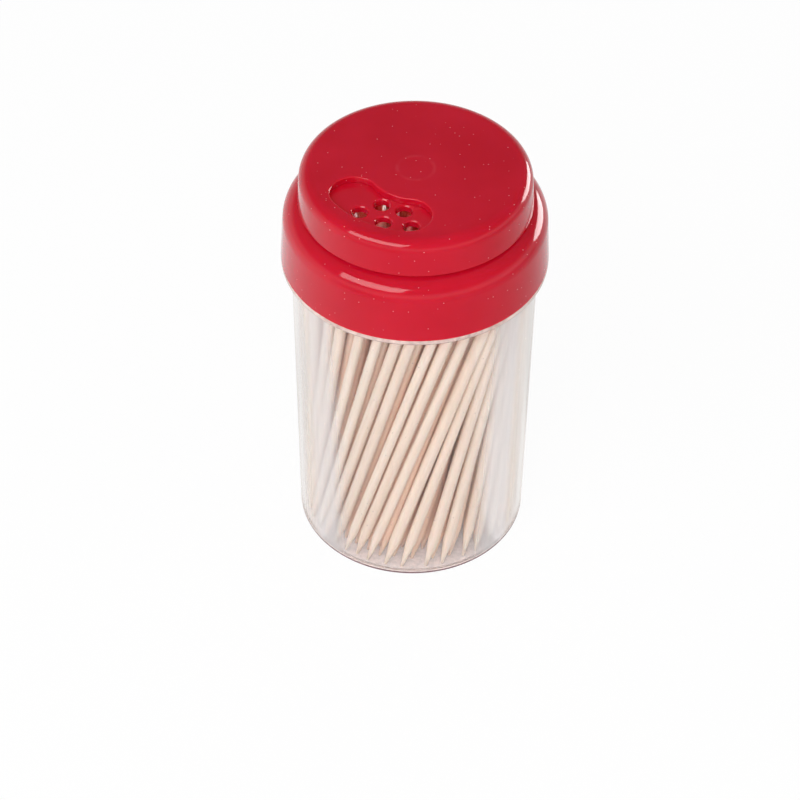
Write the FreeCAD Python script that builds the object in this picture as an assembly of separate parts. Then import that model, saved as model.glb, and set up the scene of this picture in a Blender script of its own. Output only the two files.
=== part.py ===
import FreeCAD, Part
import math
import os
import random

# Toothpick dispenser: a clear jar of toothpicks, a push-on collar whose deck has small holes,
# and a dial on the deck whose window uncovers the holes or closes them.
# Millimetres, +Z up, origin at the centre of the jar's base. The front is towards -Y.

# toothpicks
pick_length = 65.0
pick_diameter = 2.1
pick_tip_diameter = 0.5
pick_taper = 6.5            # length of the pointed part at each end
pick_room = 0.2             # space between neighbouring picks at the sheaf's waist
outer_room = 0.4            # more of it in the outermost ring
pick_twist = 47.0           # degrees that the sheaf is twisted from floor to top
twist_swing = 9.0           # degrees more than that at the front and back, and less at the sides
pick_clearance = 0.03       # least space between two picks
pick_wall_clearance = 0.1   # least space between a pick and the jar's wall
pick_lift = 0.1             # height of a pick's lower end above the floor
shuffle_step = 0.5          # how far one shuffling step moves the end of a pick
shuffle_rounds = 400
shuffle_seed = 3
outward_lean = 0.6          # share of the steps towards the middle that a pick refuses
twist_kept = 0.4            # share of the steps that untwist it that a pick refuses
bundle_radius = 7.0         # picks nearer the middle than this are one bundle
bundle_count = 8            # bundles round that one

# clear jar
cavity_radius = 20.9        # inside of the mouth
jar_wall = 0.8
jar_draft = 0.6             # radius that the jar loses towards its base
floor_thickness = 0.8
base_round = 0.5
floor_round = 0.3
flange_thickness = 0.6
flange_inset = 0.2          # how far the flange stays inside the skirt
neck_wall = 0.55
neck_room = 0.3             # space above the neck's rim
neck_bead = 0.18            # how far the snap bead stands out of the neck
bead_fit = 0.05             # radial play between the two snap beads
bead_height = 3.4           # middle of the neck's bead above the flange
bead_drop = 1.3             # how far below it the collar's own bead sits
bead_length = 0.8

# collar that pushes onto the jar
collar_wall = 1.2
neck_gap = 0.2              # space between the neck and the collar
skirt_draft = 0.65          # radius that the skirt loses up to its shoulder
shoulder_height = 11.3
shoulder_round = 3.6
turret_wall = 1.2
turret_round = 0.9
deck_thickness = 1.2
headroom = 11.7             # from the top of an upright toothpick to the deck

# holes in the deck
hole_diameter = 2.8
hole_edge = 0.2
outer_row_count = 3
outer_row_step = 19.9       # degrees
outer_row_offset = 1.5      # outwards of the window's centre line
inner_row_count = 2
inner_row_step = 23.2       # degrees
inner_row_offset = 2.3      # inwards of the window's centre line
holes_middle = -22.4        # degrees from the front, positive to the right

# dial
dial_setback = 3.1          # how far the dial's rim stands inside the skirt's
dial_draft = 0.4
dial_height = 6.6
dial_round = 2.2
dial_wall = 1.2
dial_plate = 1.2
dial_inner_round = 0.6
dial_lift = 0.6             # space between the shoulder and the dial's rim
turret_gap = 0.3
deck_gap = 0.1
window_width = 8.2
window_margin = 2.0         # from the window to the edge of the deck
window_middle = -31.5       # degrees from the front
window_span = 51.0          # degrees between the middles of its round ends
window_edge = 0.28

# pin that holds the dial on the deck
pin_radius = 2.4
pin_fit = 0.06
pin_catch = 0.6             # how far the pin's head reaches under the deck
pin_head = 1.1
pin_head_gap = 0.1

# heights, from the jar's base up
deck_under = floor_thickness + pick_length + headroom
deck_top = deck_under + deck_thickness
plate_under = deck_top + deck_gap
top = plate_under + dial_plate
dial_rim = top - dial_height
shoulder_top = dial_rim - dial_lift
skirt_bottom = shoulder_top - shoulder_height
flange_under = skirt_bottom - flange_thickness
neck_top = shoulder_top - shoulder_round - neck_room

# radii, from the jar's cavity outwards
floor_radius = cavity_radius - jar_draft
jar_radius = cavity_radius + jar_wall
base_radius = jar_radius - jar_draft
neck_radius = cavity_radius + neck_wall
shoulder_radius = neck_radius + neck_gap + collar_wall
skirt_radius = shoulder_radius + skirt_draft
flange_radius = skirt_radius - flange_inset
dial_radius = skirt_radius - dial_setback
dial_top_radius = dial_radius - dial_draft
turret_radius = dial_top_radius - dial_wall - turret_gap
window_radius = turret_radius - window_margin - window_width / 2

# the sheaf of toothpicks: its ends clear the floor's round corner, and its thick parts the wall
# where it is twisted least; its waist is the outer ring's twisted chord seen half-way up
taper_share = pick_taper / pick_length
least_bend = 2 * math.sin(math.radians(pick_twist - twist_swing) / 2)
thick_reach = math.sqrt(1 - taper_share * (1 - taper_share) * least_bend ** 2)
sheaf_radius = min(
    floor_radius - pick_wall_clearance - floor_round - pick_tip_diameter / 2,
    (floor_radius - pick_wall_clearance - pick_diameter / 2) / thick_reach,
)
sheaf_waist = math.cos(math.radians(pick_twist / 2))
sheaf_lean = math.asin(2 * sheaf_radius * math.sin(math.radians(pick_twist / 2)) / pick_length)
pick_pitch = (pick_diameter + pick_room) / (sheaf_waist * math.cos(sheaf_lean))

same_place = 0.001
past = 1.0                  # how far a cutting tool runs past the face that it cuts
rounds_per_search = 10      # shuffling rounds between two searches for neighbours
search_reach = 2.6          # in pitches, further than a toothpick moves between two searches


def turned(points):
    """Solid of revolution about Z from a closed outline of (radius, height) points."""
    corners = [FreeCAD.Vector(radius, 0, height) for radius, height in points]
    outline = Part.makePolygon(corners + corners[:1])
    return Part.Face(outline).revolve(FreeCAD.Vector(), FreeCAD.Vector(0, 0, 1), 360)


def disc(radius, low, high):
    return Part.makeCylinder(radius, high - low, FreeCAD.Vector(0, 0, low))


def rounded(solid, size, *rims):
    """Round the circular edges that lie at the given (radius, height) rims."""
    edges = []
    for edge in solid.Edges:
        curve = edge.Curve
        if not isinstance(curve, Part.Circle):
            continue
        for radius, height in rims:
            if abs(curve.Radius - radius) < same_place and abs(curve.Center.z - height) < same_place:
                edges.append(edge)
    return solid.makeFillet(size, edges)


def around(radius, angle, height):
    """Point at an angle from the front, positive to the right."""
    turn = math.radians(angle)
    return FreeCAD.Vector(radius * math.sin(turn), -radius * math.cos(turn), height)


def save(name, solids):
    shape = solids[0] if len(solids) == 1 else Part.makeCompound(solids)
    shape.exportStep("parts/" + name + ".step")


def bead(wall_radius, reach, middle):
    """Outline of a snap bead that stands out of a wall by reach, outwards if reach is positive."""
    half = bead_length / 2
    slope = abs(reach)
    return [
        (wall_radius, middle - half - slope),
        (wall_radius + reach, middle - half),
        (wall_radius + reach, middle + half),
        (wall_radius, middle + half + slope),
    ]


def jar():
    bead_middle = skirt_bottom + bead_height
    outline = [
        (0, 0),
        (base_radius, 0),
        (jar_radius, flange_under),
        (flange_radius, flange_under),
        (flange_radius, skirt_bottom),
        (neck_radius, skirt_bottom),
        *bead(neck_radius, neck_bead, bead_middle),
        (neck_radius, neck_top),
        (cavity_radius, neck_top),
        (cavity_radius, skirt_bottom),
        (floor_radius, floor_thickness),
        (0, floor_thickness),
    ]
    body = turned(outline)
    body = rounded(body, base_round, (base_radius, 0))
    body = rounded(body, floor_round, (floor_radius, floor_thickness))
    body = rounded(body, flange_thickness / 4, (flange_radius, flange_under), (flange_radius, skirt_bottom))
    return rounded(body, neck_wall / 4, (neck_radius, neck_top), (cavity_radius, neck_top))


def collar():
    """Skirt, round shoulder and raised turret with the deck of holes on top, hollow inside."""
    skirt = turned([
        (0, skirt_bottom),
        (skirt_radius, skirt_bottom),
        (shoulder_radius, shoulder_top),
        (0, shoulder_top),
    ])
    skirt = rounded(skirt, shoulder_round, (shoulder_radius, shoulder_top))
    turret = rounded(disc(turret_radius, skirt_bottom, deck_top), turret_round, (turret_radius, deck_top))
    ceiling = shoulder_top - collar_wall
    hollow = turned([
        (0, skirt_bottom),
        (skirt_radius - collar_wall, skirt_bottom),
        (shoulder_radius - collar_wall, ceiling),
        (0, ceiling),
    ])
    hollow = rounded(hollow, shoulder_round - collar_wall, (shoulder_radius - collar_wall, ceiling))
    turret_hollow = disc(turret_radius - turret_wall, skirt_bottom, deck_under)
    shell = skirt.fuse(turret).cut(hollow.fuse(turret_hollow))

    bead_middle = skirt_bottom + bead_height - bead_drop
    bead_radius = neck_radius + neck_bead + bead_fit
    wall_slope = skirt_draft / shoulder_height
    wall_radius = skirt_radius - collar_wall - wall_slope * (bead_middle - skirt_bottom)
    root = wall_radius + collar_wall / 2
    snap = turned(bead(root, bead_radius - root, bead_middle))

    shell = shell.fuse(snap).removeSplitter()
    return shell.cut(Part.makeCompound(deck_cuts()))


def deck_cuts():
    """Dispensing holes with a small bevel on top, and the hole for the dial's pin."""
    rows = [
        (outer_row_count, outer_row_step, window_radius + outer_row_offset),
        (inner_row_count, inner_row_step, window_radius - inner_row_offset),
    ]
    radius = hole_diameter / 2
    cuts = []
    for count, step, row_radius in rows:
        for index in range(count):
            angle = holes_middle + step * (index - (count - 1) / 2)
            shaft = disc(radius, deck_under - past, deck_top + past)
            bevel = Part.makeCone(radius, radius + 2 * hole_edge, 2 * hole_edge)
            bevel.translate(FreeCAD.Vector(0, 0, deck_top - hole_edge))
            cut = shaft.fuse(bevel)
            cut.translate(around(row_radius, angle, 0))
            cuts.append(cut)
    cuts.append(disc(pin_radius + pin_fit, deck_under - past, deck_top + past))
    return cuts


def window_cut():
    """Kidney-shaped prism: a curved slot with round ends that follows the dial's edge."""
    half = window_width / 2
    low = plate_under - past
    start = window_middle - window_span / 2
    stop = window_middle + window_span / 2

    def arc(radius, first, middle, last):
        return Part.Arc(around(radius, first, low), around(radius, middle, low), around(radius, last, low))

    def end(angle, side):
        across = half / window_radius
        tip = FreeCAD.Vector(around(window_radius, angle, low))
        along = FreeCAD.Vector(math.cos(math.radians(angle)), math.sin(math.radians(angle)), 0)
        tip = tip + along * (side * half)
        inner = around(window_radius * (1 - across), angle, low)
        outer = around(window_radius * (1 + across), angle, low)
        return inner, tip, outer

    first_inner, first_tip, first_outer = end(start, -1)
    last_inner, last_tip, last_outer = end(stop, 1)
    edges = [
        arc(window_radius + half, start, window_middle, stop).toShape(),
        Part.Arc(last_outer, last_tip, last_inner).toShape(),
        arc(window_radius - half, stop, window_middle, start).toShape(),
        Part.Arc(first_inner, first_tip, first_outer).toShape(),
    ]
    return Part.Face(Part.Wire(edges)).extrude(FreeCAD.Vector(0, 0, top + past - low))


def dial():
    """Inverted cup with a window in its plate and a headed pin underneath."""
    body = turned([
        (0, dial_rim),
        (dial_radius, dial_rim),
        (dial_top_radius, top),
        (0, top),
    ])
    body = rounded(body, dial_round, (dial_top_radius, top))
    hollow_radius = dial_top_radius - dial_wall
    hollow = turned([
        (0, dial_rim - past),
        (dial_radius - dial_wall, dial_rim - past),
        (dial_radius - dial_wall, dial_rim),
        (hollow_radius, plate_under),
        (0, plate_under),
    ])
    hollow = rounded(hollow, dial_inner_round, (hollow_radius, plate_under))
    body = body.cut(hollow).cut(window_cut())
    lip = [edge for edge in body.Edges if on_window_lip(edge)]
    body = body.makeFillet(window_edge, lip)
    return body.fuse(pin()).removeSplitter()


def on_window_lip(edge):
    """True for an edge of the window's outline in the dial's top face."""
    box = edge.BoundBox
    flat = abs(box.ZMin - top) < same_place and abs(box.ZMax - top) < same_place
    return flat and not edge.isClosed()


def pin():
    head_top = deck_under - pin_head_gap
    head_low = head_top - pin_head
    head_radius = pin_radius + pin_catch
    return turned([
        (0, head_low),
        (head_radius - pin_catch, head_low),
        (head_radius, head_top - pin_catch / 2),
        (head_radius, head_top),
        (pin_radius, head_top),
        (pin_radius, plate_under + dial_plate / 2),
        (0, plate_under + dial_plate / 2),
    ])


def toothpick():
    """One toothpick, pointed at both ends, standing on its lower end at the origin."""
    middle = pick_diameter / 2
    tip = pick_tip_diameter / 2
    return turned([
        (0, 0),
        (tip, 0),
        (middle, pick_taper),
        (middle, pick_length - pick_taper),
        (tip, pick_length),
        (0, pick_length),
    ])


def upper_end(foot, lean_x, lean_y):
    """Top of a toothpick whose top lies sideways of its foot by the lean."""
    rise = math.sqrt(pick_length ** 2 - lean_x ** 2 - lean_y ** 2)
    return (foot[0] + lean_x, foot[1] + lean_y, foot[2] + rise)


def between(start, stop, share):
    return tuple(a + (b - a) * share for a, b in zip(start, stop))


def distance_of_lines(first, second):
    """Shortest distance between two straight toothpicks given as (foot, top)."""
    (p, q), (r, s) = first, second
    u = (q[0] - p[0], q[1] - p[1], q[2] - p[2])
    v = (s[0] - r[0], s[1] - r[1], s[2] - r[2])
    w = (p[0] - r[0], p[1] - r[1], p[2] - r[2])
    uu = u[0] * u[0] + u[1] * u[1] + u[2] * u[2]
    uv = u[0] * v[0] + u[1] * v[1] + u[2] * v[2]
    vv = v[0] * v[0] + v[1] * v[1] + v[2] * v[2]
    uw = u[0] * w[0] + u[1] * w[1] + u[2] * w[2]
    vw = v[0] * w[0] + v[1] * w[1] + v[2] * w[2]
    spread = uu * vv - uv * uv
    along = (uv * vw - vv * uw) / spread if spread > same_place else 0.5
    along = min(max(along, 0.0), 1.0)
    other = min(max((uv * along + vw) / vv, 0.0), 1.0)
    along = min(max((uv * other - uw) / uu, 0.0), 1.0)
    return math.dist(between(p, q, along), between(r, s, other))


def inside_wall(pick):
    """True if the pick stays clear of the jar's wall, both where it is thick and at its ends."""
    wall_slope = jar_draft / (skirt_bottom - floor_thickness)
    stations = [
        (0.0, pick_tip_diameter / 2 + floor_round),
        (taper_share, pick_diameter / 2),
        (1 - taper_share, pick_diameter / 2),
        (1.0, pick_tip_diameter / 2),
    ]
    for share, thickness in stations:
        x, y, z = between(pick[0], pick[1], share)
        wall = min(floor_radius + wall_slope * (z - floor_thickness), cavity_radius)
        if math.hypot(x, y) + thickness + pick_wall_clearance > wall:
            return False
    return True


def twist_at(angle):
    """Twist of a toothpick whose middle lies at an angle from the right-hand side."""
    return math.radians(pick_twist - twist_swing * math.cos(2 * angle))


def twisted_sheaf():
    """Feet and tops of the toothpicks in twisted rings round the middle one."""
    foot_height = floor_thickness + pick_lift
    ring_count = int(sheaf_radius / pick_pitch)
    ring_step = sheaf_radius / ring_count
    first_foot = (0.0, 0.0, foot_height)
    picks = [(first_foot, upper_end(first_foot, 0.0, 0.0))]
    for index in range(1, ring_count + 1):
        radius = index * ring_step
        room = outer_room if index == ring_count else 0.0
        count = int(2 * math.pi * radius / (pick_pitch + room))
        for number in range(count):
            middle = 2 * math.pi * (number + 0.5 * (index % 2)) / count
            low = middle - twist_at(middle) / 2
            high = middle + twist_at(middle) / 2
            foot = (radius * math.cos(low), radius * math.sin(low), foot_height)
            lean_x = radius * math.cos(high) - foot[0]
            lean_y = radius * math.sin(high) - foot[1]
            picks.append((foot, upper_end(foot, lean_x, lean_y)))
    return picks


def shuffled(picks):
    """Move feet and tops about at random, only ever to places that no other toothpick fills."""
    chance = random.Random(shuffle_seed)
    least = pick_diameter + pick_clearance
    for turn in range(shuffle_rounds):
        if turn % rounds_per_search == 0:
            close = [neighbours(picks, index) for index in range(len(picks))]
        for index, (foot, head) in enumerate(picks):
            step = [chance.gauss(0, shuffle_step) for end in range(4)]
            moved_foot = (foot[0] + step[0], foot[1] + step[1], foot[2])
            lean_x = head[0] + step[2] - moved_foot[0]
            lean_y = head[1] + step[3] - moved_foot[1]
            moved = (moved_foot, upper_end(moved_foot, lean_x, lean_y))
            inwards = math.hypot(*middle_of(moved)) < math.hypot(*middle_of(picks[index]))
            if inwards and chance.random() < outward_lean:
                continue
            untwisted = turn_of(moved) < turn_of(picks[index])
            if untwisted and chance.random() < twist_kept:
                continue
            if not inside_wall(moved):
                continue
            if all(distance_of_lines(moved, picks[other]) > least for other in close[index]):
                picks[index] = moved
    return picks


def turn_of(pick):
    """Grows with the angle that a toothpick turns round the jar's axis from foot to top."""
    return pick[0][0] * pick[1][1] - pick[0][1] * pick[1][0]


def middle_of(pick):
    """Half-way point of a toothpick, seen from above."""
    return ((pick[0][0] + pick[1][0]) / 2, (pick[0][1] + pick[1][1]) / 2)


def neighbours(picks, index):
    """Toothpicks that come near one of them at the foot, the middle or the top, nearest first."""
    reach = search_reach * pick_pitch
    foot, head = picks[index]
    centre = middle_of(picks[index])
    found = []
    for other, pick in enumerate(picks):
        if other == index:
            continue
        apart = math.dist(centre, middle_of(pick))
        if min(apart, math.dist(foot, pick[0]), math.dist(head, pick[1])) < reach:
            found.append((apart, other))
    return [other for apart, other in sorted(found)]


def bundles(picks):
    """Toothpicks grouped by where their middles are: one bundle in the centre, the rest in sectors."""
    groups = {"toothpicks_centre": []}
    for number in range(bundle_count):
        groups["toothpicks_sector_" + str(number + 1)] = []
    for pick in picks:
        x, y = middle_of(pick)
        if math.hypot(x, y) < bundle_radius:
            groups["toothpicks_centre"].append(pick)
            continue
        share = (math.atan2(y, x) / (2 * math.pi)) % 1
        groups["toothpicks_sector_" + str(int(share * bundle_count) + 1)].append(pick)
    return groups


def placed(pick):
    foot = FreeCAD.Vector(*pick[0])
    direction = FreeCAD.Vector(*pick[1]).sub(foot)
    solid = toothpick()
    solid.Placement = FreeCAD.Placement(foot, FreeCAD.Rotation(FreeCAD.Vector(0, 0, 1), direction))
    return solid


os.makedirs("parts", exist_ok=True)
save("jar", [jar()])
save("lid_collar", [collar()])
save("dial_cap", [dial()])
for name, members in bundles(shuffled(twisted_sheaf())).items():
    save(name, [placed(pick) for pick in members])
print("height", round(top, 3), "skirt radius", round(skirt_radius, 3))
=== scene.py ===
import math

import bmesh
import bpy
import numpy
from mathutils import Matrix, Vector


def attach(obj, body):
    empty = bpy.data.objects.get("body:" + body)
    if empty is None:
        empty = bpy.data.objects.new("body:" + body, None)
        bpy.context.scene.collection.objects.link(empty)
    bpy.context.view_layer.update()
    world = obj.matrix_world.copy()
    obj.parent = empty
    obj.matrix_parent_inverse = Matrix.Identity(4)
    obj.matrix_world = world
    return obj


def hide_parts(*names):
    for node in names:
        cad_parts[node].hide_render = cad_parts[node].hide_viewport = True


# Toothpick dispenser: clear jar of toothpicks, red collar and red dial.
# Metres, +Z up, the front is towards -Y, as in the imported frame.

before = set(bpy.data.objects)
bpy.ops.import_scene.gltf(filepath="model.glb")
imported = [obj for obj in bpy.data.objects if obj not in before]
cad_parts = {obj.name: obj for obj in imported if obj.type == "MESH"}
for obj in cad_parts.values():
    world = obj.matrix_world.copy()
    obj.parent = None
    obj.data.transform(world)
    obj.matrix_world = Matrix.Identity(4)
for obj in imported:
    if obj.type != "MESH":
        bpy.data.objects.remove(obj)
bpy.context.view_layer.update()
print("frame loaded, nodes:", len(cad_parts))

mm = 0.001
weldDistance = 1e-6         # m, corners closer than this are one


def addNode(tree, kind, **settings):
    node = tree.nodes.new(kind)
    for name, value in settings.items():
        setattr(node, name, value)
    return node


def setInputs(node, values):
    for name, value in values.items():
        node.inputs[name].default_value = value
    return node


def chain(tree, *nodes):
    # the first output of each to the first input of the next
    for before, after in zip(nodes, nodes[1:]):
        tree.links.new(before.outputs[0], after.inputs[0])


def mathNode(tree, operation, first, second=None):
    node = addNode(tree, "ShaderNodeMath", operation=operation)
    for slot, value in enumerate((first, second)):
        if value is None:
            continue
        if isinstance(value, (int, float)):
            node.inputs[slot].default_value = value
        else:
            tree.links.new(value, node.inputs[slot])
    return node.outputs[0]


def plus(tree, first, second):
    return mathNode(tree, "ADD", first, second)


def minus(tree, first, second):
    return mathNode(tree, "SUBTRACT", first, second)


def times(tree, first, second):
    return mathNode(tree, "MULTIPLY", first, second)


def over(tree, value, limit):
    return mathNode(tree, "GREATER_THAN", value, limit)


def under(tree, value, limit):
    return mathNode(tree, "LESS_THAN", value, limit)


def most(tree, first, second):
    return mathNode(tree, "MAXIMUM", first, second)


def least(tree, first, second):
    return mathNode(tree, "MINIMUM", first, second)


def mapRange(tree, value, fromMin, fromMax, toMin=0.0, toMax=1.0, smooth=False):
    node = addNode(tree, "ShaderNodeMapRange")
    if smooth:
        node.interpolation_type = "SMOOTHSTEP"
    tree.links.new(value, node.inputs["Value"])
    setInputs(node, {"From Min": fromMin, "From Max": fromMax, "To Min": toMin, "To Max": toMax})
    return node.outputs["Result"]


def separated(tree, vector):
    node = addNode(tree, "ShaderNodeSeparateXYZ")
    tree.links.new(vector, node.inputs[0])
    return node.outputs["X"], node.outputs["Y"], node.outputs["Z"]


def axisDistance(tree, x, y):
    return mathNode(tree, "SQRT", plus(tree, times(tree, x, x), times(tree, y, y)))


def mixColour(tree, share, first, second):
    node = addNode(tree, "ShaderNodeMix", data_type="RGBA")
    tree.links.new(share, node.inputs[0])
    for slot, value in ((6, first), (7, second)):
        if hasattr(value, "links"):
            tree.links.new(value, node.inputs[slot])
        else:
            node.inputs[slot].default_value = (*value, 1.0)
    return node.outputs[2]


def mixShader(tree, share, first, second):
    node = addNode(tree, "ShaderNodeMixShader")
    for slot, value in enumerate((share, first, second)):
        tree.links.new(value, node.inputs[slot])
    return node.outputs[0]


def noise(tree, place, scale, detail, roughness=0.5):
    node = addNode(tree, "ShaderNodeTexNoise")
    setInputs(node, {"Scale": scale, "Detail": detail, "Roughness": roughness})
    tree.links.new(place, node.inputs["Vector"])
    return node.outputs["Fac"]


def stretched(tree, vector, scale):
    node = addNode(tree, "ShaderNodeMapping")
    node.inputs["Scale"].default_value = scale
    tree.links.new(vector, node.inputs["Vector"])
    return node.outputs["Vector"]


def objectPlace(tree, scale=(1.0, 1.0, 1.0)):
    return stretched(tree, addNode(tree, "ShaderNodeTexCoord").outputs["Object"], scale)


def newMaterial(name):
    material = bpy.data.materials.new(name)
    material.use_nodes = True
    tree = material.node_tree
    tree.nodes.clear()
    output = addNode(tree, "ShaderNodeOutputMaterial")
    shader = addNode(tree, "ShaderNodeBsdfPrincipled")
    tree.links.new(shader.outputs["BSDF"], output.inputs["Surface"])
    return material, tree, shader, output


def addBump(tree, height, strength, distance, shader):
    node = addNode(tree, "ShaderNodeBump")
    setInputs(node, {"Strength": strength, "Distance": distance})
    tree.links.new(height, node.inputs["Height"])
    tree.links.new(node.outputs["Normal"], shader.inputs["Normal"])


def newObject(name, data):
    made = bpy.data.objects.new(name, data)
    bpy.context.scene.collection.objects.link(made)
    return made


cameraSettings = {
    "lens": 113.84,                     # mm
    "sensor": 36.0,                     # its width, mm
    "clip": (0.01, 20.0),               # m
    "place": (0.0, -336.10, 352.19),    # mm
    "aim": (0.0, 0.0, 61.5),            # middle of the collar's lower rim, mm
    "pan": 0.004968,                    # radians, from the aim
    "tilt": -0.059258,
    "roll": -0.01483,
}


def addCamera(settings):
    place = Vector(settings["place"]) * mm
    forward = (Vector(settings["aim"]) * mm - place).normalized()
    right = Vector((1.0, 0.0, 0.0))
    up = right.cross(forward)
    turn = Matrix.Rotation(settings["pan"], 3, up)
    forward, right = turn @ forward, turn @ right
    turn = Matrix.Rotation(settings["tilt"], 3, right)
    forward, up = turn @ forward, turn @ up
    turn = Matrix.Rotation(settings["roll"], 3, forward)
    right, up = turn @ right, turn @ up
    data = bpy.data.cameras.new("camera")
    data.lens = settings["lens"]
    data.sensor_width = settings["sensor"]
    data.clip_start, data.clip_end = settings["clip"]
    camera = newObject("camera", data)
    turned = Matrix((right, up, -forward)).transposed()
    camera.matrix_world = Matrix.Translation(place) @ turned.to_4x4()
    bpy.context.scene.camera = camera


addCamera(cameraSettings)
print("camera placed")


studio = {
    "fill": 0.32,               # light from all round
    "above": 0.20,              # what the gloss sees high up
    "horizon": 0.80,            # and near the floor's edge
    "skyRise": (0.15, 0.5),     # between these, as the sine of the elevation, one turns into the other
    "floorHalf": 1.6,           # m, from the middle to an edge
    "floorLevel": -0.05,        # mm
    "floorTone": 0.88,
    "floorRoughness": 0.9,
    "floorShown": 0.95,         # share of plain white that the camera sees
    "floorThrough": 0.10,       # and that is seen through the jar
    "floorGloss": 0.72,         # what the gloss sees of the floor round the object
    "glossAcross": -1.3,        # change of that per metre to the right
    "glossBehind": 2.9,         # and per metre to the back
    "glossLimits": (0.38, 1.05),
    "wingGloss": 0.90,          # brighter floor on both sides of the jar
    "wingReach": 78.0,          # mm
    "wingSlopes": (-0.75, 0.67),    # front and back edges, behind per sideways
    "bounces": 48,
    "diffuseBounces": 8,
    "lampAim": 0.045,           # m above the floor
    "lamps": [
        # name, shape, azimuth from the front (right is positive), elevation, distance m, width, height,
        # brightness of a white surface that faces it, and whether surfaces and glosses take its light
        ("keySoftbox", "RECTANGLE", -38.0, 42.0, 0.75, 0.62, 0.32, 0.50, True, True),
        ("rimDisc", "ELLIPSE", 130.0, 13.0, 0.70, 0.44, 0.30, 0.60, False, True),
        ("frontFill", "RECTANGLE", -5.0, 42.0, 0.90, 0.50, 0.35, 0.42, True, False),
        ("lowFill", "RECTANGLE", -30.0, 4.0, 0.90, 0.80, 0.30, 0.05, True, False),
        ("rightFill", "RECTANGLE", 80.0, 8.0, 0.90, 0.60, 0.30, 0.20, True, False),
        ("backFill", "RECTANGLE", 170.0, 16.0, 0.90, 0.60, 0.30, 0.22, True, False),
    ],
}


def addLamps(settings):
    aim = Vector((0.0, 0.0, settings["lampAim"]))
    for name, shape, azimuth, elevation, distance, width, height, level, matt, glossy in settings["lamps"]:
        turn, rise = math.radians(azimuth), math.radians(elevation)
        way = Vector((math.sin(turn) * math.cos(rise), -math.cos(turn) * math.cos(rise), math.sin(rise)))
        data = bpy.data.lights.new(name, "AREA")
        data.shape = shape
        data.size, data.size_y = width, height
        data.energy = level * (math.pi * distance) ** 2    # lights a white surface to that level
        lamp = newObject(name, data)
        turned = way.to_track_quat("Z", "Y").to_matrix().to_4x4()
        lamp.matrix_world = Matrix.Translation(aim + way * distance) @ turned
        lamp.visible_camera = False
        lamp.visible_diffuse = matt
        lamp.visible_glossy = glossy


def addWorld(settings):
    world = bpy.data.worlds.new("studio")
    bpy.context.scene.world = world
    world.use_nodes = True
    tree = world.node_tree
    tree.nodes.clear()
    output = addNode(tree, "ShaderNodeOutputWorld")
    background = addNode(tree, "ShaderNodeBackground")
    background.inputs["Color"].default_value = (1.0, 1.0, 1.0, 1.0)
    path = addNode(tree, "ShaderNodeLightPath")
    height = separated(tree, addNode(tree, "ShaderNodeTexCoord").outputs["Generated"])[2]
    seen = mapRange(tree, height, *settings["skyRise"], settings["horizon"], settings["above"], smooth=True)
    glossy = path.outputs["Is Glossy Ray"]
    fill = times(tree, minus(tree, 1.0, glossy), settings["fill"])
    strength = plus(tree, fill, times(tree, glossy, seen))
    # plain white for the camera, also through the jar
    clear = most(tree, path.outputs["Is Camera Ray"], path.outputs["Is Transmission Ray"])
    tree.links.new(most(tree, strength, clear), background.inputs["Strength"])
    tree.links.new(background.outputs[0], output.inputs["Surface"])


def floorGloss(tree, settings):
    # how bright the floor looks in a gloss: it falls off to the front right,
    # with a brighter wing on each side of the jar
    x, y = separated(tree, addNode(tree, "ShaderNodeTexCoord").outputs["Object"])[:2]
    change = plus(tree, times(tree, x, settings["glossAcross"]), times(tree, y, settings["glossBehind"]))
    darkest, brightest = settings["glossLimits"]
    level = most(tree, plus(tree, change, settings["floorGloss"]), darkest)
    level = least(tree, level, brightest)
    sideways = mathNode(tree, "ABSOLUTE", x)
    front, back = settings["wingSlopes"]
    wing = under(tree, axisDistance(tree, x, y), settings["wingReach"] * mm)
    wing = times(tree, wing, over(tree, y, times(tree, sideways, front)))
    wing = times(tree, wing, under(tree, y, times(tree, sideways, back)))
    return most(tree, level, times(tree, wing, settings["wingGloss"]))


def addFloor(settings):
    half, level = settings["floorHalf"], settings["floorLevel"] * mm
    corners = [(-half, -half, level), (half, -half, level), (half, half, level), (-half, half, level)]
    mesh = bpy.data.meshes.new("floor")
    mesh.from_pydata(corners, [], [(0, 1, 2, 3)])
    floor = newObject("floor", mesh)
    material, tree, shader, output = newMaterial("paleFloor")
    tone = settings["floorTone"]
    setInputs(shader, {
        "Base Color": (tone, tone, tone, 1.0),
        "Roughness": settings["floorRoughness"],
        "Specular IOR Level": 0.0,
    })
    path = addNode(tree, "ShaderNodeLightPath")
    glossy = path.outputs["Is Glossy Ray"]
    glow = addNode(tree, "ShaderNodeEmission")
    strength = plus(tree, times(tree, glossy, floorGloss(tree, settings)), minus(tree, 1.0, glossy))
    tree.links.new(strength, glow.inputs["Strength"])
    shown = times(tree, path.outputs["Is Camera Ray"], settings["floorShown"])
    through = times(tree, path.outputs["Is Transmission Ray"], settings["floorThrough"])
    share = most(tree, glossy, most(tree, shown, through))
    tree.links.new(mixShader(tree, share, shader.outputs[0], glow.outputs[0]), output.inputs["Surface"])
    floor.data.materials.append(material)


def allowBounces(settings):
    # light runs far inside the jar's clear base, and back and forth between the toothpicks
    cycles = bpy.context.scene.cycles
    cycles.max_bounces = settings["bounces"]
    cycles.transmission_bounces = settings["bounces"]
    cycles.glossy_bounces = settings["bounces"]
    cycles.transparent_max_bounces = settings["bounces"]
    cycles.diffuse_bounces = settings["diffuseBounces"]


addLamps(studio)
addWorld(studio)
addFloor(studio)
allowBounces(studio)
bpy.context.scene.view_settings.view_transform = "Standard"
print("studio lit")


# In the materials, a noise is its scale per metre, its detail and where given its roughness.
# A spread is the range of a noise that is used, and what that range becomes.

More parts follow.
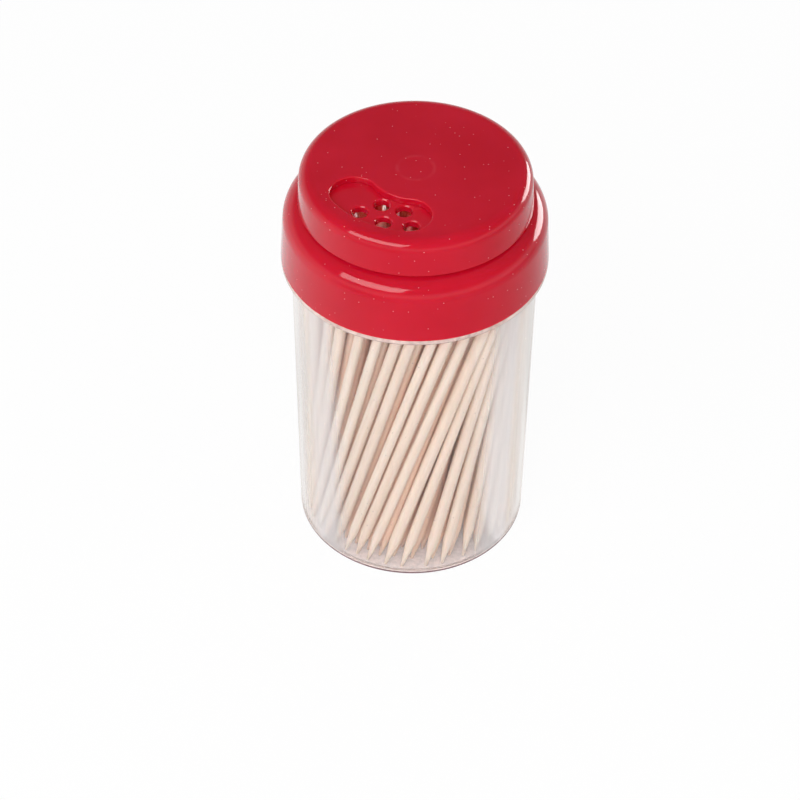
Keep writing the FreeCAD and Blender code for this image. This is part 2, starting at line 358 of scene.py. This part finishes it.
redPlastic = {
    "deep": (0.49, 0.0030, 0.0180),
    "pale": (0.54, 0.0055, 0.0235),
    "patches": (60.0, 3.0),         # noise of the tone and the roughness
    "toneSpread": (0.35, 0.65, 0.0, 1.0),
    "roughSpread": (0.3, 0.7, 0.05, 0.11),
    "ior": 1.46,
    "specular": 0.5,
    "dustScale": 1200.0,
    "dustSize": 0.06,               # share of its cell
    "dustKept": 0.80,               # cells above this have a speck
    "dustColour": (0.80, 0.52, 0.52),
    "dustShare": 0.5,
    "dustRoughness": 0.4,           # added to the plastic's
    "grain": (900.0, 2.0),
    "grainHeight": 0.3,             # of the height of a speck
    "ringRadius": 3.2,              # mm, faint mark in the dial's middle; a shallow bump with a painted lighter sheen
    "ringWidth": 0.6,               # mm, on either side of that
    "ringHeight": 3.0,              # of the height of a speck
    "ringBreakup": (420.0, 2.0),
    "ringSpread": (0.4, 0.6, 0.25, 1.0),
    "ringSheenColour": (0.62, 0.05, 0.07),
    "ringSheenShare": 0.28,
    "bumpStrength": 0.25,
    "bumpHeight": 0.03,             # mm
    "through": (0.75, 0.05, 0.04),  # light left behind one face
    "depthShare": 0.5,              # light that wanders through the plastic
    "depthColour": (1.0, 0.12, 0.10),
    "depth": 1.6,                   # mm
}

speckFade = 2.4     # times its size, where a speck has faded out


def specks(tree, place, scale, size, kept):
    # small dots in some of the cells
    cells = addNode(tree, "ShaderNodeTexVoronoi")
    setInputs(cells, {"Scale": scale, "Randomness": 1.0})
    tree.links.new(place, cells.inputs["Vector"])
    dot = mapRange(tree, cells.outputs["Distance"], size, size * speckFade, 1.0, 0.0)
    chance = addNode(tree, "ShaderNodeSeparateColor")
    tree.links.new(cells.outputs["Color"], chance.inputs[0])
    return times(tree, dot, over(tree, chance.outputs[0], kept))


def dialRing(tree, place, settings):
    x, y = separated(tree, place)[:2]
    away = minus(tree, axisDistance(tree, x, y), settings["ringRadius"] * mm)
    away = mathNode(tree, "ABSOLUTE", away)
    ring = mapRange(tree, away, 0.0, settings["ringWidth"] * mm, 1.0, 0.0, smooth=True)
    uneven = mapRange(tree, noise(tree, place, *settings["ringBreakup"]), *settings["ringSpread"])
    return times(tree, ring, uneven)


def makeRed(name, settings, withRing):
    material, tree, shader, output = newMaterial(name)
    place = objectPlace(tree)
    patches = noise(tree, place, *settings["patches"])
    tone = mapRange(tree, patches, *settings["toneSpread"])
    colour = mixColour(tree, tone, settings["deep"], settings["pale"])
    dust = specks(tree, place, settings["dustScale"], settings["dustSize"], settings["dustKept"])
    colour = mixColour(tree, times(tree, dust, settings["dustShare"]), colour, settings["dustColour"])
    rough = mapRange(tree, patches, *settings["roughSpread"])
    rough = plus(tree, rough, times(tree, dust, settings["dustRoughness"]))
    grain = noise(tree, place, *settings["grain"])
    height = plus(tree, times(tree, grain, settings["grainHeight"]), dust)
    if withRing:
        ring = dialRing(tree, place, settings)
        height = plus(tree, height, times(tree, ring, settings["ringHeight"]))
        # the ring's lighter colour is a painted sheen of the shallow mark
        colour = mixColour(tree, times(tree, ring, settings["ringSheenShare"]), colour, settings["ringSheenColour"])
    tree.links.new(colour, shader.inputs["Base Color"])
    tree.links.new(rough, shader.inputs["Roughness"])
    setInputs(shader, {
        "IOR": settings["ior"],
        "Specular IOR Level": settings["specular"],
        "Subsurface Weight": settings["depthShare"],
        "Subsurface Radius": settings["depthColour"],
        "Subsurface Scale": settings["depth"] * mm,
    })
    addBump(tree, height, settings["bumpStrength"], settings["bumpHeight"] * mm, shader)
    # some light passes through the walls
    path = addNode(tree, "ShaderNodeLightPath")
    glow = addNode(tree, "ShaderNodeBsdfTransparent")
    glow.inputs["Color"].default_value = (*settings["through"], 1.0)
    mixed = mixShader(tree, path.outputs["Is Shadow Ray"], shader.outputs[0], glow.outputs[0])
    tree.links.new(mixed, output.inputs["Surface"])
    return material


redDial = makeRed("redDial", redPlastic, True)
redCollar = makeRed("redCollar", redPlastic, False)

for nodeName, material in (("dial_cap", redDial), ("lid_collar", redCollar)):
    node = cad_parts[nodeName]
    node.data.materials.clear()
    node.data.materials.append(material)
print("lid finished")


jarSizes = {                    # mm unless a note says otherwise
    "foot": 21.1,               # outer radius at the base; the wall widens upwards
    "footRounding": 0.5,
    "shoulder": 21.7,           # outer radius below the flange
    "flange": 23.45,
    "flangeHeights": (60.5, 61.5),
    "flangeRounding": 0.15,
    "neck": 21.45,
    "bead": 21.63,              # the neck's snap bead, with slopes of 45 degrees
    "beadHeights": (64.5, 65.3),
    "rim": 68.9,                # height of the mouth's edge
    "rimRounding": 0.1375,
    "mouth": 20.9,              # radius inside the neck
    "inside": 20.3,             # radius of the hollow at its floor
    "insideRounding": 0.3,
    "floor": 0.8,
    "arcSteps": 6,              # faces along a rounding
    "support": 0.25,            # from a rounding to the next ring of faces
    "supportShare": 0.45,       # the most of a side that it takes
    "segments": 160,            # faces round the jar
    "sharpAngle": 30.0,         # degrees, edges above it stay sharp
    "pathRadius": 0.05,         # m, of the circle that the outline follows
}


def jarOutline(sizes):
    # corners as (radius, height, rounding), from the middle of the base round to that of the floor
    flangeLow, flangeHigh = sizes["flangeHeights"]
    beadLow, beadHigh = sizes["beadHeights"]
    beadSlope = sizes["bead"] - sizes["neck"]
    return [
        (0.0, 0.0, 0.0),
        (sizes["foot"], 0.0, sizes["footRounding"]),
        (sizes["shoulder"], flangeLow, 0.0),
        (sizes["flange"], flangeLow, sizes["flangeRounding"]),
        (sizes["flange"], flangeHigh, sizes["flangeRounding"]),
        (sizes["neck"], flangeHigh, 0.0),
        (sizes["neck"], beadLow - beadSlope, 0.0),
        (sizes["bead"], beadLow, 0.0),
        (sizes["bead"], beadHigh, 0.0),
        (sizes["neck"], beadHigh + beadSlope, 0.0),
        (sizes["neck"], sizes["rim"], sizes["rimRounding"]),
        (sizes["mouth"], sizes["rim"], sizes["rimRounding"]),
        (sizes["mouth"], flangeHigh, 0.0),
        (sizes["inside"], sizes["floor"], sizes["insideRounding"]),
        (0.0, sizes["floor"], 0.0),
    ]


def roundedOutline(corners, sizes):
    points = [Vector(corners[0][:2])]
    for before, (radius, height, rounding), after in zip(corners, corners[1:], corners[2:]):
        corner = Vector((radius, height))
        back, ahead = Vector(before[:2]) - corner, Vector(after[:2]) - corner
        toBack, toAhead = back.normalized(), ahead.normalized()
        half = math.acos(max(-1.0, min(1.0, toBack.dot(toAhead)))) / 2
        reach = rounding / math.tan(half) if rounding else 0.0
        support = reach + sizes["support"]
        points.append(corner + toBack * min(support, sizes["supportShare"] * back.length))
        if rounding:
            middle = corner + (toBack + toAhead).normalized() * rounding / math.sin(half)
            first = corner + toBack * reach - middle
            last = corner + toAhead * reach - middle
            sweep = first.angle_signed(last)
            for step in range(sizes["arcSteps"] + 1):
                turn = Matrix.Rotation(-sweep * (step / sizes["arcSteps"]), 2)
                points.append(middle + turn @ first)
        else:
            points.append(corner)
        points.append(corner + toAhead * min(support, sizes["supportShare"] * ahead.length))
    points.append(Vector(corners[-1][:2]))
    return points


def newSockets(tree, kind, names):
    for name in names:
        tree.interface.new_socket(name, in_out="INPUT", socket_type=kind)


def latheTree():
    tree = bpy.data.node_groups.new("lathe", "GeometryNodeTree")
    newSockets(tree, "NodeSocketGeometry", ["Outline"])
    newSockets(tree, "NodeSocketFloat", ["Path Radius"])
    newSockets(tree, "NodeSocketInt", ["Segments"])
    newSockets(tree, "NodeSocketFloat", ["Sharp Angle"])
    newSockets(tree, "NodeSocketMaterial", ["Material"])
    tree.interface.new_socket("Mesh", in_out="OUTPUT", socket_type="NodeSocketGeometry")
    wire = tree.links.new
    given = addNode(tree, "NodeGroupInput")
    result = addNode(tree, "NodeGroupOutput")
    outline = addNode(tree, "GeometryNodeMeshToCurve")
    circle = addNode(tree, "GeometryNodeCurvePrimitiveCircle")
    sweep = addNode(tree, "GeometryNodeCurveToMesh")
    flip = addNode(tree, "GeometryNodeFlipFaces")    # the sweep leaves them facing inwards
    merge = addNode(tree, "GeometryNodeMergeByDistance")
    angle = addNode(tree, "GeometryNodeInputMeshEdgeAngle")
    even = addNode(tree, "FunctionNodeCompare", operation="LESS_THAN")
    smoothFaces = addNode(tree, "GeometryNodeSetShadeSmooth", domain="FACE")
    smoothEdges = addNode(tree, "GeometryNodeSetShadeSmooth", domain="EDGE")
    realize = addNode(tree, "GeometryNodeRealizeInstances")
    paint = addNode(tree, "GeometryNodeSetMaterial")
    merge.inputs["Distance"].default_value = weldDistance
    wire(given.outputs["Outline"], outline.inputs["Mesh"])
    wire(given.outputs["Path Radius"], circle.inputs["Radius"])
    wire(given.outputs["Segments"], circle.inputs["Resolution"])
    wire(circle.outputs["Curve"], sweep.inputs["Curve"])
    wire(outline.outputs["Curve"], sweep.inputs["Profile Curve"])
    chain(tree, sweep, flip, merge, smoothFaces, smoothEdges, realize, paint, result)
    wire(angle.outputs["Unsigned Angle"], even.inputs[0])
    wire(given.outputs["Sharp Angle"], even.inputs[1])
    wire(even.outputs["Result"], smoothEdges.inputs["Shade Smooth"])
    wire(given.outputs["Material"], paint.inputs["Material"])
    return tree


def applyTree(piece, tree, values):
    modifier = piece.modifiers.new(tree.name, "NODES")
    modifier.node_group = tree
    for item in tree.interface.items_tree:
        if item.item_type == "SOCKET" and item.in_out == "INPUT" and item.name in values:
            modifier[item.identifier] = values[item.name]
    view = bpy.context.evaluated_depsgraph_get()
    made = bpy.data.meshes.new_from_object(piece.evaluated_get(view))
    made.name = piece.name
    piece.modifiers.clear()
    piece.data = made


clearPlastic = {
    "tint": (0.985, 0.98, 0.99),
    "ior": 1.5,
    "shadow": (0.95, 0.945, 0.955),     # what is left of the light that passes both faces
    "stretch": (1.0, 1.0, 0.06),        # of ripple and streaks, along the jar
    "ripple": (160.0, 2.0),
    "rippleSpread": (0.3, 0.7, 0.0, 0.04),  # to roughness
    "rippleStrength": 0.12,
    "rippleHeight": 0.04,               # mm
    "streaks": (420.0, 3.0),
    "streakSpread": (0.3, 0.7, 0.9, 1.1),   # to times the haze
    "haze": (0.92, 0.885, 0.895),       # milky look of the skin
    "hazeEdge": (0.95, 0.85, 0.77),     # warmer edge-on
    "hazeBlur": 0.35,
    "hazeRise": (0.44, 0.52),           # facing at which the haze sets in, as the wall turns away
    "hazeFall": (0.63, 0.72),           # and at which it clears again
    "hazeShare": (0.0, 0.62, 0.30),     # face-on, between the two, edge-on
    "hazeSides": (0.93, 1.07),          # times that on the left and on the right
    "hazeSidesReach": 20.0,             # mm to either side
    "patches": (700.0, 3.0),
    "patchSpread": (0.3, 0.7, 0.6, 1.2),    # to times the rim's and the dust's share
    "rim": (0.84, 0.68, 0.62),          # frosted flange
    "rimHeights": (60.35, 61.65),       # mm
    "rimShadeLine": (0.30, 0.22, 0.20),      # painted shade line along its lower edge
    "rimShadeLineTop": 60.68,                # mm
    "rimShare": 0.70,
    "floorBounceShade": (0.90, 0.80, 0.75),     # painted warm shade and bounce light of the toothpicks on the jar's floor
    "floorBounceShadeTop": 1.0,                 # mm
    "floorBounceShadeShare": 0.60,
    "foot": (0.17, 0.08, 0.10),         # painted dark contact shade along the lower edge
    "footShadeTop": 0.7,                     # mm
    "footInside": 20.7,                 # mm from the axis
    "footShadeShare": 0.88,
    "speckScale": 900.0,
    "speckSize": 0.05,                  # share of its cell
    "speckKept": 0.85,                  # cells above this have a speck
    "speckShare": 0.7,
}


def hazeLayer(tree, long, x, settings):
    # where the wall turns away, with streaks along the jar: its share, and its shader
    facing = addNode(tree, "ShaderNodeLayerWeight")
    facing.inputs["Blend"].default_value = 0.5
    away = facing.outputs["Facing"]
    front, between, edge = settings["hazeShare"]
    rise = mapRange(tree, away, *settings["hazeRise"], front, between)
    fall = mapRange(tree, away, *settings["hazeFall"], between, edge)
    streaks = mapRange(tree, noise(tree, long, *settings["streaks"]), *settings["streakSpread"])
    reach = settings["hazeSidesReach"] * mm
    sides = mapRange(tree, x, -reach, reach, *settings["hazeSides"])
    share = times(tree, least(tree, rise, fall), times(tree, streaks, sides))
    mist = addNode(tree, "ShaderNodeBsdfGlossy")
    mist.inputs["Roughness"].default_value = settings["hazeBlur"]
    edgeOn = mapRange(tree, away, *settings["hazeFall"])
    tree.links.new(mixColour(tree, edgeOn, settings["haze"], settings["hazeEdge"]), mist.inputs["Color"])
    return share, mist.outputs[0]


def skinAndShadeLayer(tree, place, radius, height, settings):
    # painted warm shade and bounce light low on the jar's floor, the frosted flange with a painted shade
    # line along its lower edge, a painted dark contact shade at the foot, and dust specks
    low, high = settings["rimHeights"]
    onRim = times(tree, over(tree, height, low * mm), under(tree, height, high * mm))
    onRimShadeLine = times(tree, onRim, under(tree, height, settings["rimShadeLineTop"] * mm))
    onFloor = under(tree, height, settings["floorBounceShadeTop"] * mm)
    onFoot = under(tree, height, settings["footShadeTop"] * mm)
    onFoot = times(tree, onFoot, over(tree, radius, settings["footInside"] * mm))
    patchy = mapRange(tree, noise(tree, place, *settings["patches"]), *settings["patchSpread"])
    dots = specks(tree, place, settings["speckScale"], settings["speckSize"], settings["speckKept"])
    # the floor's colour is painted warm shade and bounce light of the toothpicks
    colour = mixColour(tree, onFloor, settings["rim"], settings["floorBounceShade"])
    # painted dark contact shade along the jar's lower edge
    colour = mixColour(tree, onFoot, colour, settings["foot"])
    # painted shade under the flange's lower edge
    colour = mixColour(tree, onRimShadeLine, colour, settings["rimShadeLine"])
    share = times(tree, times(tree, onRim, patchy), settings["rimShare"])
    for mask, level in (
        (times(tree, onFloor, patchy), settings["floorBounceShadeShare"]),
        (onFoot, settings["footShadeShare"]),
        (dots, settings["speckShare"]),
    ):
        share = most(tree, share, times(tree, mask, level))
    skin = addNode(tree, "ShaderNodeBsdfDiffuse")
    tree.links.new(colour, skin.inputs["Color"])
    return share, skin.outputs[0]


def makeClear(settings):
    material, tree, shader, output = newMaterial("clearJar")
    tint = (*settings["tint"], 1.0)
    setInputs(shader, {"Base Color": tint, "Transmission Weight": 1.0, "IOR": settings["ior"]})
    place = objectPlace(tree)
    long = objectPlace(tree, settings["stretch"])
    ripple = noise(tree, long, *settings["ripple"])
    tree.links.new(mapRange(tree, ripple, *settings["rippleSpread"]), shader.inputs["Roughness"])
    addBump(tree, ripple, settings["rippleStrength"], settings["rippleHeight"] * mm, shader)
    x, y, z = separated(tree, place)
    share, mist = hazeLayer(tree, long, x, settings)
    misty = mixShader(tree, share, shader.outputs[0], mist)
    share, skin = skinAndShadeLayer(tree, place, axisDistance(tree, x, y), z, settings)
    milkyAndShaded = mixShader(tree, share, misty, skin)
    # light gets in and out as if nothing bent it
    path = addNode(tree, "ShaderNodeLightPath")
    through = addNode(tree, "ShaderNodeBsdfTransparent")
    through.inputs["Color"].default_value = (*settings["shadow"], 1.0)
    soft = most(tree, path.outputs["Is Shadow Ray"], path.outputs["Is Diffuse Ray"])
    tree.links.new(mixShader(tree, soft, milkyAndShaded, through.outputs[0]), output.inputs["Surface"])
    return material


def makeJar(sizes):
    points = roundedOutline(jarOutline(sizes), sizes)
    pathRadius = sizes["pathRadius"]
    # the sweep adds the path's radius to the outline's, so the outline starts that much further in
    mesh = bpy.data.meshes.new("clearJar")
    mesh.from_pydata(
        [(point.x * mm - pathRadius, -point.y * mm, 0.0) for point in points],
        [(index, index + 1) for index in range(len(points) - 1)],
        [],
    )
    made = newObject("clearJar", mesh)
    applyTree(made, latheTree(), {
        "Path Radius": pathRadius,
        "Segments": sizes["segments"],
        "Sharp Angle": math.radians(sizes["sharpAngle"]),
        "Material": makeClear(clearPlastic),
    })
    return made


jar = makeJar(jarSizes)
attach(jar, "jar")
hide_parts("jar")
print("jar turned, faces:", len(jar.data.polygons))


pickSizes = {               # mm unless a note says otherwise
    "length": 65.0,
    "thickness": 2.1,
    "tip": 0.5,
    "blunt": 0.15,          # length of the rounded end
    "taper": 6.5,
    "sides": 8,             # faces round a toothpick
    "thinnest": 0.86,       # of the thickness
    "seed": 4,
    "mostSpin": 6.283,      # radians about its own line
}

slidUp = {                  # loose toothpicks that have slid up under the deck's holes, mm
    "height": 77.3,
    "tops": [(-10.4, -5.6), (-9.4, -0.9), (-5.3, -6.9), (-5.9, -9.3), (-3.0, -7.9), (-0.8, -10.2),
             (-10.0, -9.0)],
}


def slideUp(places, settings):
    # each of them moves along its own line, so it stays clear of its neighbours
    moved = set()
    for x, y in settings["tops"]:
        target = Vector((x, y, settings["height"])) * mm
        choices = []
        for index, (foot, top) in enumerate(places):
            way = top - foot
            step = way * (target.z - top.z) / way.z
            if index not in moved:
                choices.append(((top + step - target).length, index, step))
        index, step = min(choices, key=lambda choice: choice[0])[1:]
        moved.add(index)
        places[index] = (places[index][0] + step, places[index][1] + step)


def pickPlaces(nodeName):
    # foot and top of each loose toothpick of a packed bundle
    shape = bmesh.new()
    shape.from_mesh(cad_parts[nodeName].data)
    bmesh.ops.remove_doubles(shape, verts=shape.verts, dist=weldDistance)
    seen = set()
    places = []
    for start in shape.verts:
        if start in seen:
            continue
        seen.add(start)
        island, waiting = [], [start]
        while waiting:
            corner = waiting.pop()
            island.append(corner.co[:])
            for edge in corner.link_edges:
                other = edge.other_vert(corner)
                if other not in seen:
                    seen.add(other)
                    waiting.append(other)
        cloud = numpy.array(island)
        middle = (cloud.min(0) + cloud.max(0)) / 2
        way = numpy.linalg.svd(cloud - middle, full_matrices=False)[2][0]
        way = way * numpy.sign(way[2])
        along = (cloud - middle) @ way
        places.append((Vector(middle + way * along.min()), Vector(middle + way * along.max())))
    shape.free()
    return places


woodFinish = {
    "plain": (0.85, 0.715, 0.59),
    "pale": (0.89, 0.78, 0.655),
    "deep": (0.95, 0.69, 0.53),     # painted warm shade and bounce light on the toothpicks in the middle of the sheaf
    "bounceShadeReach": (18.2, 16.2),      # mm from the axis, where that sets in and is full
    "bounceShadeEnd": (48.0, 60.0),        # mm along a toothpick, where that goes and is gone
    "top": (1.0, 0.955, 0.89),      # painted light on the upper ends, which sit in shade inside the lid
    "topLightReach": (60.5, 63.5),       # mm along a toothpick, where that sets in and is full
    "shift": (3.7, 9.1),            # of the pattern from one toothpick to another, across and along
    "stretch": (1.0, 1.0, 0.035),   # of the pattern, along the toothpick
    "grain": (2600.0, 4.0, 0.65),
    "streak": (0.74, 0.54, 0.40),
    "streakSpread": (0.35, 0.7, 0.0, 0.4),  # to its share
    "bands": (700.0, 2.0),
    "band": (0.78, 0.60, 0.46),
    "bandSpread": (0.55, 0.8, 0.0, 0.35),   # to its share
    "roughSpread": (0.3, 0.7, 0.5, 0.75),
    "specular": 0.3,
    "depthShare": 0.15,             # light that wanders through the wood
    "depthColour": (1.0, 0.45, 0.25),
    "depth": 0.9,                   # mm
    "bumpStrength": 0.35,
    "bumpHeight": 0.06,             # mm
}


def makeWood(settings):
    material, tree, shader, output = newMaterial("pickWood")
    local = addNode(tree, "ShaderNodeAttribute", attribute_name="pickPlace").outputs["Vector"]
    tone = addNode(tree, "ShaderNodeAttribute", attribute_name="pickTone").outputs["Fac"]
    reach = addNode(tree, "ShaderNodeAttribute", attribute_name="pickReach").outputs["Fac"]
    shift = addNode(tree, "ShaderNodeCombineXYZ")
    for axis, size in zip("XZ", settings["shift"]):
        tree.links.new(times(tree, tone, size), shift.inputs[axis])
    moved = addNode(tree, "ShaderNodeVectorMath", operation="ADD")
    tree.links.new(local, moved.inputs[0])
    tree.links.new(shift.outputs[0], moved.inputs[1])
    place = stretched(tree, moved.outputs[0], settings["stretch"])
    grain = noise(tree, place, *settings["grain"])
    bands = noise(tree, place, *settings["bands"])
    along = separated(tree, local)[2]
    colour = mixColour(tree, tone, settings["plain"], settings["pale"])
    # painted warm shade and bounce light on the inner toothpicks, fading out towards their upper ends
    start, full = settings["bounceShadeReach"]
    inside = mapRange(tree, reach, start * mm, full * mm)
    start, gone = settings["bounceShadeEnd"]
    low = mapRange(tree, along, start * mm, gone * mm, 1.0, 0.0)
    colour = mixColour(tree, times(tree, inside, low), colour, settings["deep"])
    # painted light on the upper ends of the toothpicks
    start, full = settings["topLightReach"]
    colour = mixColour(tree, mapRange(tree, along, start * mm, full * mm), colour, settings["top"])
    colour = mixColour(tree, mapRange(tree, grain, *settings["streakSpread"]), colour, settings["streak"])
    colour = mixColour(tree, mapRange(tree, bands, *settings["bandSpread"]), colour, settings["band"])
    tree.links.new(colour, shader.inputs["Base Color"])
    tree.links.new(mapRange(tree, grain, *settings["roughSpread"]), shader.inputs["Roughness"])
    setInputs(shader, {
        "Specular IOR Level": settings["specular"],
        "Subsurface Weight": settings["depthShare"],
        "Subsurface Radius": settings["depthColour"],
        "Subsurface Scale": settings["depth"] * mm,
    })
    addBump(tree, grain, settings["bumpStrength"], settings["bumpHeight"] * mm, shader)
    return material


def sheafTree():
    tree = bpy.data.node_groups.new("toothpickSheaf", "GeometryNodeTree")
    newSockets(tree, "NodeSocketGeometry", ["Feet"])
    newSockets(tree, "NodeSocketFloat", ["Length", "Thickness", "Tip", "Blunt", "Taper"])
    newSockets(tree, "NodeSocketFloat", ["Thinnest", "Most Spin"])
    newSockets(tree, "NodeSocketInt", ["Sides", "Seed"])
    newSockets(tree, "NodeSocketMaterial", ["Material"])
    tree.interface.new_socket("Mesh", in_out="OUTPUT", socket_type="NodeSocketGeometry")
    wire = tree.links.new
    given = addNode(tree, "NodeGroupInput")
    result = addNode(tree, "NodeGroupOutput")

    def part(steps, low, high, depth, lift):
        # a ring of faces round the toothpick's line, from the height of lift upwards
        cone = addNode(tree, "GeometryNodeMeshCone", fill_type="NONE")
        wire(given.outputs["Sides"], cone.inputs["Vertices"])
        cone.inputs["Side Segments"].default_value = steps
        for radius, name in ((low, "Radius Bottom"), (high, "Radius Top")):
            if radius is None:
                cone.inputs[name].default_value = 0.0
            else:
                wire(radius, cone.inputs[name])
        wire(depth, cone.inputs["Depth"])
        move = addNode(tree, "GeometryNodeTransform")
        offset = addNode(tree, "ShaderNodeCombineXYZ")
        if lift is not None:
            wire(lift, offset.inputs["Z"])
        wire(offset.outputs[0], move.inputs["Translation"])
        chain(tree, cone, move)
        return move.outputs["Geometry"]

    length, taper, blunt = (given.outputs[name] for name in ("Length", "Taper", "Blunt"))
    fullRadius = times(tree, given.outputs["Thickness"], 0.5)
    tipRadius = times(tree, given.outputs["Tip"], 0.5)
    shaft = minus(tree, length, times(tree, taper, 2.0))
    point = minus(tree, taper, blunt)
    join = addNode(tree, "GeometryNodeJoinGeometry")
    for steps, low, high, depth, lift in (
        (1, None, tipRadius, blunt, None),
        (2, tipRadius, fullRadius, point, blunt),
        (3, fullRadius, fullRadius, shaft, taper),
        (2, fullRadius, tipRadius, point, minus(tree, length, taper)),
        (1, tipRadius, None, blunt, minus(tree, length, blunt)),
    ):
        wire(part(steps, low, high, depth, lift), join.inputs[0])
    merge = addNode(tree, "GeometryNodeMergeByDistance")
    merge.inputs["Distance"].default_value = weldDistance
    keep = addNode(tree, "GeometryNodeStoreNamedAttribute", data_type="FLOAT_VECTOR", domain="POINT")
    keep.inputs["Name"].default_value = "pickPlace"
    wire(addNode(tree, "GeometryNodeInputPosition").outputs[0], keep.inputs["Value"])
    chain(tree, join, merge, keep)

    def drawn(step, low=0.0, high=1.0):
        # a number for each toothpick, from the seed and this many steps on
        draw = addNode(tree, "FunctionNodeRandomValue", data_type="FLOAT")
        wire(plus(tree, given.outputs["Seed"], step), draw.inputs["Seed"])
        for slot, value in ((2, low), (3, high)):
            if isinstance(value, float):
                draw.inputs[slot].default_value = value
            else:
                wire(value, draw.inputs[slot])
        return draw.outputs[1]

    spin = drawn(0.0, 0.0, given.outputs["Most Spin"])
    width = drawn(1.0, given.outputs["Thinnest"], 1.0)
    tone = drawn(2.0)
    lean = addNode(tree, "GeometryNodeInputNamedAttribute", data_type="FLOAT_VECTOR")
    lean.inputs["Name"].default_value = "lean"
    align = addNode(tree, "FunctionNodeAlignRotationToVector", axis="Z")
    wire(lean.outputs["Attribute"], align.inputs["Vector"])
    spun = addNode(tree, "FunctionNodeAxisAngleToRotation")
    spun.inputs["Axis"].default_value = (0.0, 0.0, 1.0)
    wire(spin, spun.inputs["Angle"])
    turn = addNode(tree, "FunctionNodeRotateRotation", rotation_space="LOCAL")
    wire(align.outputs["Rotation"], turn.inputs["Rotation"])
    wire(spun.outputs["Rotation"], turn.inputs["Rotate By"])
    scale = addNode(tree, "ShaderNodeCombineXYZ")
    wire(width, scale.inputs["X"])
    wire(width, scale.inputs["Y"])
    scale.inputs["Z"].default_value = 1.0
    spread = addNode(tree, "GeometryNodeInstanceOnPoints")
    wire(given.outputs["Feet"], spread.inputs["Points"])
    wire(keep.outputs["Geometry"], spread.inputs["Instance"])
    wire(turn.outputs["Rotation"], spread.inputs["Rotation"])
    wire(scale.outputs[0], spread.inputs["Scale"])
    keepTone = addNode(tree, "GeometryNodeStoreNamedAttribute", data_type="FLOAT", domain="INSTANCE")
    keepTone.inputs["Name"].default_value = "pickTone"
    wire(tone, keepTone.inputs["Value"])
    realize = addNode(tree, "GeometryNodeRealizeInstances")
    smooth = addNode(tree, "GeometryNodeSetShadeSmooth", domain="FACE")
    paint = addNode(tree, "GeometryNodeSetMaterial")
    wire(given.outputs["Material"], paint.inputs["Material"])
    chain(tree, spread, keepTone, realize, smooth, paint, result)
    return tree


def makeSheaf(names, sizes):
    places = [place for name in names for place in pickPlaces(name)]
    slideUp(places, slidUp)
    mesh = bpy.data.meshes.new("toothpickSheaf")
    mesh.from_pydata([foot for foot, top in places], [], [])
    mesh.attributes.new("lean", "FLOAT_VECTOR", "POINT")
    mesh.attributes.new("pickReach", "FLOAT", "POINT")
    for index, (foot, top) in enumerate(places):
        mesh.attributes["lean"].data[index].vector = top - foot
        mesh.attributes["pickReach"].data[index].value = (foot + top).xy.length / 2
    made = newObject("toothpickSheaf", mesh)
    applyTree(made, sheafTree(), {
        "Length": sizes["length"] * mm,
        "Thickness": sizes["thickness"] * mm,
        "Tip": sizes["tip"] * mm,
        "Blunt": sizes["blunt"] * mm,
        "Taper": sizes["taper"] * mm,
        "Thinnest": sizes["thinnest"],
        "Most Spin": sizes["mostSpin"],
        "Sides": sizes["sides"],
        "Seed": sizes["seed"],
        "Material": makeWood(woodFinish),
    })
    print("toothpicks placed:", len(places), "faces:", len(made.data.polygons))
    return made


bundles = sorted(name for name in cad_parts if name.startswith("toothpicks"))
sheaf = makeSheaf(bundles, pickSizes)
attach(sheaf, "jar")
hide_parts(*bundles)
